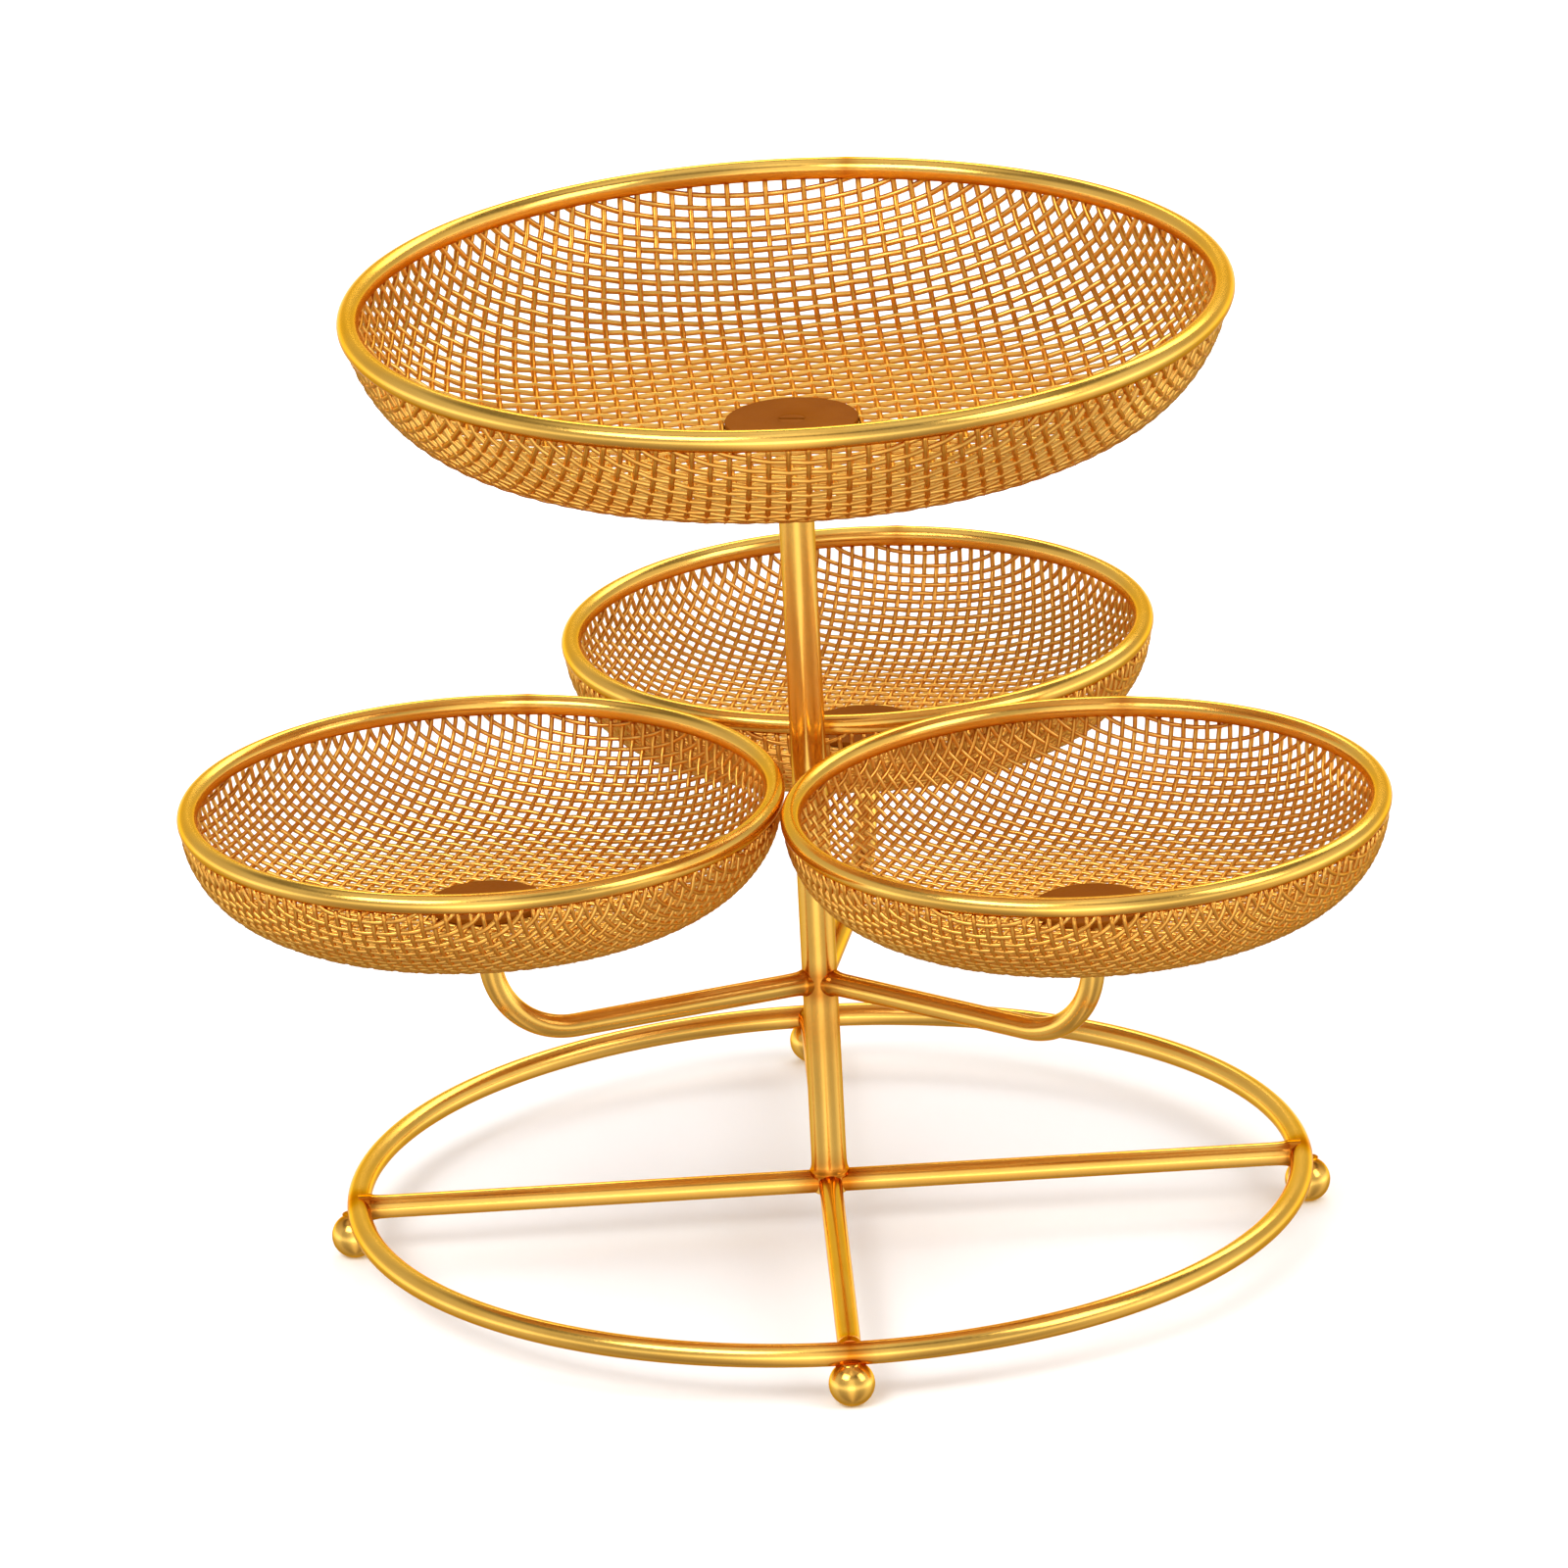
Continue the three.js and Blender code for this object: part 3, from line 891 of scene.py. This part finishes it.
def makeBowl(node, name, values, dishMesh, meshTurn):
    centre, radius = bowlCentres[node], values["rimRadius"]
    count, sides = rimWires["steps"], rimWires["sides"]
    turn = np.arange(count) * 2 * math.pi / count
    ring = np.stack([radius * np.cos(turn), radius * np.sin(turn), turn * 0], -1)
    seam = np.abs(turn - math.pi / 2) * radius
    bulge = rimWires["seamBulge"] * np.exp(-(seam / rimWires["seamReach"]) ** 2)
    points, faces = sweepTube(ring, values["rimWire"] / 2 + bulge, sides, upward, closed=True)
    rim = addPiece(name + "Rim", points, faces, polishedGold, node, [node + "_rim"], centre)
    # the mesh meets the rim all round from below; the lower half of the rim wire is painted darker and
    # redder, a painted shade and reflection of the mesh
    angle = np.tile(np.arange(sides) * 2 * math.pi / sides, count)
    underShade = np.clip((-np.cos(angle) - rimWires["underShadeStart"]) * rimWires["underShadeRise"], 0, 1)
    atSeam = np.repeat(weldPaint(seam, rimWires["seamWeld"], rimWires["seamTint"]), sides)
    paintValues(rim.data, "weldTintAndShadeMask", np.maximum(underShade, atSeam * rimWires["seamTintShare"]))

    turned = dishMesh.copy()
    turned.name = name + "Mesh"
    turned.transform(Matrix.Rotation(math.radians(meshTurn), 4, "Z"))
    placePiece(name + "Mesh", turned, node, [node + "_mesh_dish"], centre)

    headRadius = values["thread"] * screws["headShare"]
    for part, kind in (("Inner", "_inner_plate"), ("Under", "_under_plate")):
        low, high = lowOf(node + kind), highOf(node + kind)
        hole = values["thread"] / 2 + plates["shankGap"]
        if part == "Inner":
            outer, mouth = values["plateRadius"], headRadius + plates["headGap"]
        else:
            outer, mouth = values["plateRadius"] * plates["underShare"], hole + plates["underMouth"]
        points, faces = sunkPlate(outer, low, high, hole, mouth, plates)
        piece = addPiece(name + part + "Plate", points, faces, bronzePlate, node, [node + kind],
                         (centre[0], centre[1], 0), crease=50)
        paintValues(piece.data, "weldTintAndShadeMask", np.zeros(len(points)))

    mesh = sunkScrew(name + "Screw", headRadius, highOf(node + "_screw"),
                     values["thread"] / 2, lowOf(node + "_screw"), screws)
    placePiece(name + "Screw", mesh, "stand", [node + "_screw"], (centre[0], centre[1], 0))


meshTurns = {"topBowl": 12.5, "backBowl": -4.1, "leftBowl": -13.1, "rightBowl": -13.1}

wideMesh = weaveDish("wideMesh", wideBowl)
smallMesh = weaveDish("smallMesh", smallBowl)
makeBowl("top_bowl", "topBowl", wideBowl, wideMesh, meshTurns["topBowl"])
makeBowl("back_bowl", "backBowl", smallBowl, smallMesh, meshTurns["backBowl"])
makeBowl("left_bowl", "leftBowl", smallBowl, smallMesh, meshTurns["leftBowl"])
makeBowl("right_bowl", "rightBowl", smallBowl, smallMesh, meshTurns["rightBowl"])
print("bowls made")


# floor, light and camera

studio = {
    "floorSize": 14.0,
    "floorColour": (0.93, 0.93, 0.93),
    "floorRough": 0.9,
    "tentWhite": 1.15,   # just enough for the far floor to look as white as the tent
    # what the metal mirrors: colour by height from straight down to straight up
    "heightBands": [
        (0.00, (0.56, 0.47, 0.38)), (0.16, (0.72, 0.64, 0.55)), (0.30, (0.92, 0.87, 0.79)),
        (0.36, (1.15, 1.11, 1.05)), (0.42, (2.10, 2.10, 2.05)), (0.50, (1.80, 1.78, 1.74)),
        (0.57, (1.00, 0.99, 0.97)), (0.63, (0.85, 0.84, 0.82)), (0.79, (0.80, 0.79, 0.77)),
        (0.86, (0.24, 0.23, 0.19)), (0.90, (0.24, 0.23, 0.19)), (0.94, (0.95, 0.95, 0.94)),
        (1.00, (1.00, 1.00, 1.00)),
    ],
    # and brightness by bearing, once round
    "bearingBands": [
        (0.00, 0.85), (0.05, 0.90), (0.09, 0.60), (0.15, 0.58), (0.20, 0.75), (0.25, 1.40),
        (0.29, 1.40), (0.33, 0.75), (0.38, 0.58), (0.43, 0.62), (0.50, 1.05), (0.56, 1.00),
        (0.62, 0.65), (0.72, 0.85), (0.80, 1.00), (0.88, 0.75), (1.00, 0.85),
    ],
}
softboxes = {
    "keyBox": {"place": (-0.9, -1.6, 1.9), "aim": (0, 0, 0.12), "size": (1.4, 1.0), "power": 30.0},
    "fillBox": {"place": (1.7, -0.6, 1.3), "aim": (0, 0, 0.12), "size": (0.9, 1.2), "power": 12.0},
    "backBox": {"place": (0.2, 1.9, 1.6), "aim": (0, 0, 0.1), "size": (1.8, 0.6), "power": 12.0},
}


def makeFloor(values):
    half = values["floorSize"] / 2
    mesh = bpy.data.meshes.new("floor")
    corners = [(-half, -half, 0), (half, -half, 0), (half, half, 0), (-half, half, 0)]
    mesh.from_pydata(corners, [], [(0, 1, 2, 3)])
    material = bpy.data.materials.new("paleFloor")
    material.use_nodes = True
    tree = material.node_tree
    shader = tree.nodes["Principled BSDF"]
    shader.inputs["Base Color"].default_value = (*values["floorColour"], 1)
    shader.inputs["Roughness"].default_value = values["floorRough"]
    shader.inputs["Specular IOR Level"].default_value = 0.0
    # the metal mirrors the studio below the horizon, not the floor's flat white
    seen = tree.nodes.new("ShaderNodeLightPath")
    clear = tree.nodes.new("ShaderNodeBsdfTransparent")
    mix = tree.nodes.new("ShaderNodeMixShader")
    tree.links.new(seen.outputs["Is Glossy Ray"], mix.inputs[0])
    tree.links.new(shader.outputs[0], mix.inputs[1])
    tree.links.new(clear.outputs[0], mix.inputs[2])
    tree.links.new(mix.outputs[0], tree.nodes["Material Output"].inputs[0])
    mesh.materials.append(material)
    floor = bpy.data.objects.new("floor", mesh)
    bpy.context.scene.collection.objects.link(floor)


def addSoftbox(name, values):
    light = bpy.data.lights.new(name, "AREA")
    light.shape = "RECTANGLE"
    light.size, light.size_y = values["size"]
    light.energy = values["power"]
    box = bpy.data.objects.new(name, light)
    bpy.context.scene.collection.objects.link(box)
    box.location = values["place"]
    ahead = Vector(values["aim"]) - Vector(values["place"])
    box.rotation_euler = ahead.to_track_quat("-Z", "Y").to_euler()


def makeWorld(values):
    # a plain white tent, which the metal mirrors with soft bands by height and by bearing
    world = bpy.data.worlds.new("studioTent")
    bpy.context.scene.world = world
    world.use_nodes = True
    tree = world.node_tree
    back = tree.nodes["Background"]
    place = tree.nodes.new("ShaderNodeTexCoord")
    parts = tree.nodes.new("ShaderNodeSeparateXYZ")
    tree.links.new(place.outputs["Generated"], parts.inputs[0])
    byHeight = tree.nodes.new("ShaderNodeValToRGB")
    level = mathNode(tree, "MULTIPLY_ADD", parts.outputs[2], 0.5, 0.5)
    tree.links.new(level, byHeight.inputs[0])
    fillRamp(byHeight.color_ramp, values["heightBands"])
    bearing = mathNode(tree, "ARCTAN2", parts.outputs[1], parts.outputs[0])
    share = mathNode(tree, "MULTIPLY_ADD", bearing, 0.5 / math.pi, 0.5)
    byBearing = tree.nodes.new("ShaderNodeValToRGB")
    tree.links.new(share, byBearing.inputs[0])
    fillRamp(byBearing.color_ramp, [(at, (v, v, v)) for at, v in values["bearingBands"]])
    tint = tree.nodes.new("ShaderNodeMix")
    tint.data_type, tint.blend_type = "RGBA", "MULTIPLY"
    tint.inputs["Factor"].default_value = 1.0
    tree.links.new(byHeight.outputs[0], tint.inputs[6])
    tree.links.new(byBearing.outputs[0], tint.inputs[7])
    seen = tree.nodes.new("ShaderNodeLightPath")
    plain = tree.nodes.new("ShaderNodeMix")
    plain.data_type = "RGBA"
    tree.links.new(seen.outputs["Is Glossy Ray"], plain.inputs["Factor"])
    white = values["tentWhite"]
    plain.inputs[6].default_value = (white, white, white, 1)
    tree.links.new(tint.outputs[2], plain.inputs[7])
    tree.links.new(plain.outputs[2], back.inputs[0])
    back.inputs[1].default_value = 1.0


def fillRamp(ramp, stops):
    while len(ramp.elements) > 1:
        ramp.elements.remove(ramp.elements[-1])
    ramp.elements[0].position = stops[0][0]
    ramp.elements[0].color = (*stops[0][1], 1)
    for at, colour in stops[1:]:
        ramp.elements.new(at).color = (*colour, 1)


makeFloor(studio)
makeWorld(studio)
for name, values in softboxes.items():
    addSoftbox(name, values)

cameraSet = {
    "distance": 4.13325,
    "elevation": 21.045,
    "bearing": 9.257,
    "roll": -2.938,
    "aimAside": -0.0016,
    "aimUp": 0.0245,
    "lens": 372.9,
    "sensor": 36.0,
    "clip": (0.1, 50),
}


def makeCamera(values):
    bearing, elevation = math.radians(values["bearing"]), math.radians(values["elevation"])
    roll = math.radians(values["roll"])
    away = Vector((math.sin(bearing) * math.cos(elevation),
                   -math.cos(bearing) * math.cos(elevation), math.sin(elevation)))
    aim = Vector((postX * mm, postY * mm, ringLevel * mm))
    vertical = Vector((0, 0, 1))
    ahead = -away
    right = ahead.cross(vertical).normalized()
    above = right.cross(ahead)
    ahead = (ahead + values["aimAside"] * right + values["aimUp"] * above).normalized()
    right = ahead.cross(vertical).normalized()
    above = right.cross(ahead)
    cameraRight = math.cos(roll) * right + math.sin(roll) * above
    cameraUp = -math.sin(roll) * right + math.cos(roll) * above
    data = bpy.data.cameras.new("camera")
    data.lens, data.sensor_width = values["lens"], values["sensor"]
    data.clip_start, data.clip_end = values["clip"]
    camera = bpy.data.objects.new("camera", data)
    bpy.context.scene.collection.objects.link(camera)
    turned = Matrix((cameraRight, cameraUp, -ahead)).transposed().to_4x4()
    turned.translation = aim + away * values["distance"]
    camera.matrix_world = turned
    bpy.context.scene.camera = camera


makeCamera(cameraSet)
bpy.context.scene.view_settings.view_transform = "Standard"
print("studio ready")
